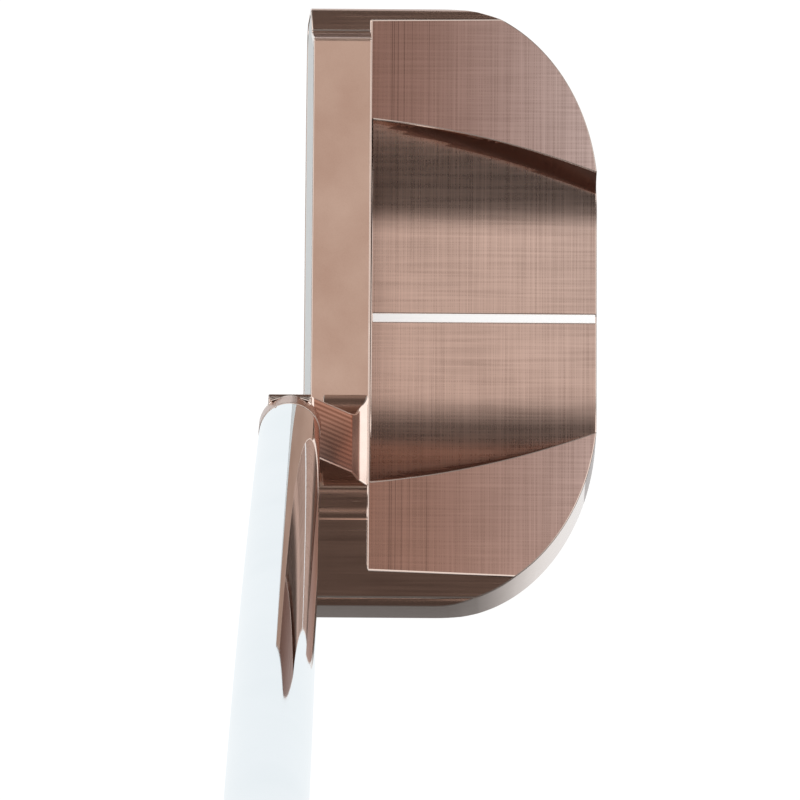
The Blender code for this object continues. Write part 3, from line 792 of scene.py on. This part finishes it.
def grip_ring(share, rings, points=96):
    """One section of the grip, drawn in a little at both ends to round them."""
    bulge = GRIP_BULGE * math.exp(-((share - BULGE_PLACE) / BULGE_LENGTH) ** 2)
    belly = GRIP_BELLY + GRIP_BELLY_GROWTH * share + bulge
    half_width = GRIP_HALF_WIDTH + GRIP_WIDTH_GROWTH * share
    flat = half_width * GRIP_FLAT
    edge = 1.0 - 0.10 * max(0.0, 1.0 - min(share, 1 - share) * rings / 1.5)
    height = GRIP_START + GRIP_LENGTH * share
    angles = [2 * math.pi * index / points for index in range(points)]
    return [(max(math.cos(a) * belly, -flat) * edge, math.sin(a) * half_width * edge, height) for a in angles]


def make_grip(rings=80):
    grip = lofted_solid("grip_skin", [grip_ring(step / rings, rings) for step in range(rings + 1)], RUBBER)
    cut(grip, rod("grip_hole", BODY_RADIUS + 0.4 * MM + STEP_RISE, GRIP_START - MM, GRIP_START + 6 * MM))
    grip.data.shade_smooth()
    grip.data.set_sharp_from_angle(angle=math.radians(50.0))
    bake_place(on_shaft_axis(grip))
    finish_piece(grip, "grip_rubber", "grip")


def dress_cad_nodes():
    looks = {"face_insert_bond": ADHESIVE, "shaft_bond": ADHESIVE, "grip_tape": TAPE, "grip_cap": RUBBER,
             "toe_weight": WEIGHT_METAL, "heel_weight": WEIGHT_METAL, "sole_plate": SOLE_METAL,
             "toe_weight_washer": WASHER, "heel_weight_washer": WASHER}
    for node, material in looks.items():
        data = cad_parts[node].data
        data.materials.clear()
        data.materials.append(material)


# ---------------------------------------------------------------- studio

def make_floor():
    """A plain white floor, so pale that it holds only a faint shadow."""
    reach = 40.0
    mesh = bpy.data.meshes.new("floor")
    mesh.from_pydata([(-reach, -reach, 0), (reach, -reach, 0), (reach, reach, 0), (-reach, reach, 0)], [],
                     [(0, 1, 2, 3)])
    floor = add_object("floor", mesh)
    floor.location.z = -0.2 * MM
    floor.visible_glossy = False
    n = Nodes("floor_white")
    n.set(Base_Color=(0.15, 0.15, 0.15, 1.0), Roughness=0.9, Specular_IOR_Level=0.0,
          Emission_Color=(1, 1, 1, 1), Emission_Strength=0.96)
    mesh.materials.append(n.material)


def make_world():
    """A long soft box overhead, a little towards the toe, a low light on either side and a white sweep below.

    Mirroring metal sees this sweep instead of the floor, so that the room's horizon stays dim in it.
    """
    world = bpy.data.worlds.new("studio")
    bpy.context.scene.world = world
    world.use_nodes = True
    n = Nodes.__new__(Nodes)
    n.tree = world.node_tree
    direction = n.tree.nodes.new("ShaderNodeTexCoord").outputs["Generated"]
    x, y, z = (n.part_of(direction, axis) for axis in "XYZ")
    to_heel = n.math("ARCTAN2", x, z)
    to_side = n.math("ARCTAN2", n.math("ABSOLUTE", y), z)
    toe_edge = n.span(to_heel, -1.20, -0.15, 0.15, 1.05, True)
    heel_edge = n.span(to_heel, 0.0, 0.56, 1.0, 0.12, True)
    overhead = n.math("MULTIPLY", toe_edge, heel_edge)
    sides = n.math("MULTIPLY", n.span(to_side, 0.85, 1.0, 0.0, 1.3, True),
                   n.span(to_side, 1.95, 2.20, 1.0, 0.0, True))
    below = n.math("ADD", n.math("MULTIPLY", x, -math.cos(LIE)), n.math("MULTIPLY", z, -math.sin(LIE)))
    sweep = n.span(below, math.cos(math.radians(40)), math.cos(math.radians(26)), 0.0, 0.98, True)
    background = n.tree.nodes["Background"]
    n.link(n.mix(sweep, (1.0, 1.0, 1.0), (0.94, 0.98, 1.0)), background.inputs["Color"])
    n.link(n.math("MAXIMUM", n.math("MAXIMUM", overhead, sides), sweep), background.inputs["Strength"])


def make_camera():
    """The golfer's view at address: high above the head and a little towards the heel."""
    lean = math.radians(14.5)
    distance = 1.8
    target = Vector((17.37, -8.58, 15.0)) * MM
    toward = Vector((math.sin(lean), 0.0, math.cos(lean)))
    up = Vector((-math.cos(lean), 0.0, math.sin(lean)))
    right = Vector((0.0, 1.0, 0.0))
    turn = Matrix((right, up, toward)).transposed().to_4x4()
    data = bpy.data.cameras.new("address_view")
    data.sensor_width = 36.0
    data.lens = 469.8
    data.clip_start = 0.05
    data.clip_end = 60.0
    camera = bpy.data.objects.new("address_view", data)
    bpy.context.scene.collection.objects.link(camera)
    camera.matrix_world = (Matrix.Translation(target + toward * distance) @ turn
                           @ Matrix.Rotation(math.radians(0.38), 4, "Z"))
    bpy.context.scene.camera = camera


make_camera()
make_head()
make_face()
make_sight_line()
make_neck()
make_shaft()
make_grip()
dress_cad_nodes()
make_floor()
make_world()
bpy.context.scene.view_settings.view_transform = "Standard"
